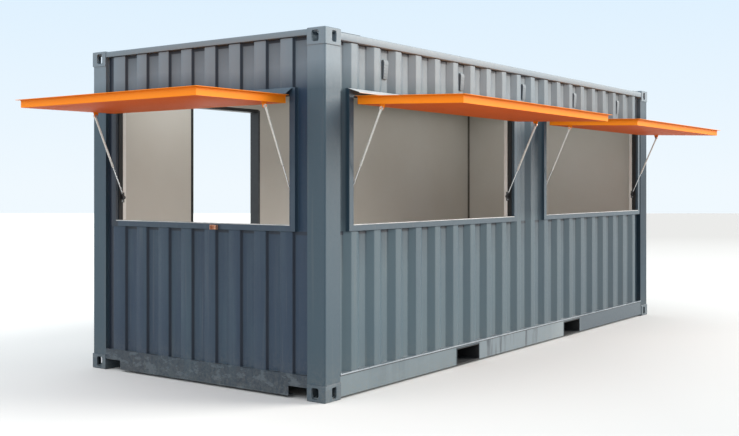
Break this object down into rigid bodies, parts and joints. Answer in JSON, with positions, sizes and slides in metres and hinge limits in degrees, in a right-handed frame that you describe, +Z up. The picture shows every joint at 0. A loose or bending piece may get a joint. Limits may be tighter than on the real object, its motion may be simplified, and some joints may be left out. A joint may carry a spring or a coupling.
{
  "type": "shipping container cabin",
  "caption": "Steel container kiosk cabin with a lined room, a back doorway and top-hung serving hatches held open by gas struts.",
  "frame": {"origin": "on the ground at the middle of the four bottom corner castings", "axes": "+X along the length towards the cargo doors, -Y out of the long side with two hatches, +Z up"},
  "size_m": [6.98, 3.4695, 2.591],
  "materials": {
    "container_paint": "satin blue-grey paint, lightly worn",
    "galvanised_steel": "dull zinc",
    "plywood": "oiled plywood",
    "white_lining": "matt off-white board",
    "black_rubber": "matt",
    "black_steel": "satin black",
    "brass_keeper": "dull",
    "dark_frame_paint": "satin anthracite",
    "orange_paint": "satin orange paint",
    "flap_skin_paint": "satin orange paint",
    "silver_strut": "satin"
  },
  "bodies": {
    "container": {"bottom_corner_castings": "container_paint", "top_corner_castings": "container_paint", "blind_end_posts": "container_paint", "door_end_posts": "container_paint", "bottom_side_rails": "container_paint", "top_side_rails": "container_paint", "blind_end_sill": "container_paint", "door_end_sill": "container_paint", "end_headers": "container_paint", "floor_cross_members": "container_paint", "fork_pockets": "container_paint", "roof_panel": "container_paint", "side_wall_panels": "container_paint", "side_wall_piers": "container_paint", "end_wall_panels": "container_paint", "end_wall_piers": "container_paint", "back_wall_panels": "container_paint", "back_wall_panel_over_door": "container_paint", "cargo_doors": "container_paint", "side_hatch_frames": "container_paint", "end_hatch_frame": "container_paint", "rain_flashings": "container_paint", "side_vents": "container_paint", "door_leaf": "container_paint", "cargo_door_locking_bars": "galvanised_steel", "floor_boards": "plywood", "side_lining": "white_lining", "end_lining": "white_lining", "back_lining": "white_lining", "door_end_lining": "white_lining", "ceiling_lining": "white_lining", "hatch_seals": "black_rubber", "strut_brackets": "black_steel", "latch_keeper": "brass_keeper", "doorway_frame": "dark_frame_paint"},
    "first_flap": {"first_flap_frame": "orange_paint", "first_flap_skin": "flap_skin_paint"},
    "first_tubes": {"first_strut_tubes": "silver_strut"},
    "first_rods": {"first_strut_rods": "black_steel"},
    "second_flap": {"second_flap_frame": "orange_paint", "second_flap_skin": "flap_skin_paint"},
    "second_tubes": {"second_strut_tubes": "silver_strut"},
    "second_rods": {"second_strut_rods": "black_steel"},
    "end_flap": {"end_flap_frame": "orange_paint", "end_flap_skin": "flap_skin_paint"},
    "end_tubes": {"end_strut_tubes": "silver_strut"},
    "end_rods": {"end_strut_rods": "black_steel"}
  },
  "joints": [
    {"name": "first_flap_hinge", "type": "hinge", "parent": "container", "child": "first_flap", "pos_m": [-1.4765, -1.228, 2.13], "axis": [1, 0, 0], "range_deg": [0, 88]},
    {"name": "first_tube_pivot", "type": "hinge", "parent": "first_flap", "child": "first_tubes", "pos_m": [-1.4765, -1.4399, 2.03755], "axis": [1, 0, 0], "range_deg": [-113.3, 0]},
    {"name": "first_rod_slide", "type": "slide", "parent": "first_tubes", "child": "first_rods", "axis": [0, -0.4139, 0.9103], "range_m": [0, 0.1854]},
    {"name": "second_flap_hinge", "type": "hinge", "parent": "container", "child": "second_flap", "pos_m": [1.5725, -1.228, 2.13], "axis": [1, 0, 0], "range_deg": [0, 88]},
    {"name": "second_tube_pivot", "type": "hinge", "parent": "second_flap", "child": "second_tubes", "pos_m": [1.5725, -1.4399, 2.03755], "axis": [1, 0, 0], "range_deg": [-113.3, 0]},
    {"name": "second_rod_slide", "type": "slide", "parent": "second_tubes", "child": "second_rods", "axis": [0, -0.4139, 0.9103], "range_m": [0, 0.1854]},
    {"name": "end_flap_hinge", "type": "hinge", "parent": "container", "child": "end_flap", "pos_m": [-3.038, 0, 2.13], "axis": [0, -1, 0], "range_deg": [0, 89.6]},
    {"name": "end_tube_pivot", "type": "hinge", "parent": "end_flap", "child": "end_tubes", "pos_m": [-3.2524, 0, 2.0435], "axis": [0, -1, 0], "range_deg": [-114.9, 0]},
    {"name": "end_rod_slide", "type": "slide", "parent": "end_tubes", "child": "end_rods", "axis": [-0.4137, 0, 0.9104], "range_m": [0, 0.1918]}
  ],
  "couplings": [
    {"joint": "first_tube_pivot", "follows": "first_flap_hinge", "ratio": -1.2867},
    {"joint": "first_rod_slide", "follows": "first_flap_hinge", "m_per_rad": 0.12066},
    {"joint": "second_tube_pivot", "follows": "second_flap_hinge", "ratio": -1.2867},
    {"joint": "second_rod_slide", "follows": "second_flap_hinge", "m_per_rad": 0.12066},
    {"joint": "end_tube_pivot", "follows": "end_flap_hinge", "ratio": -1.2814},
    {"joint": "end_rod_slide", "follows": "end_flap_hinge", "m_per_rad": 0.12263}
  ]
}
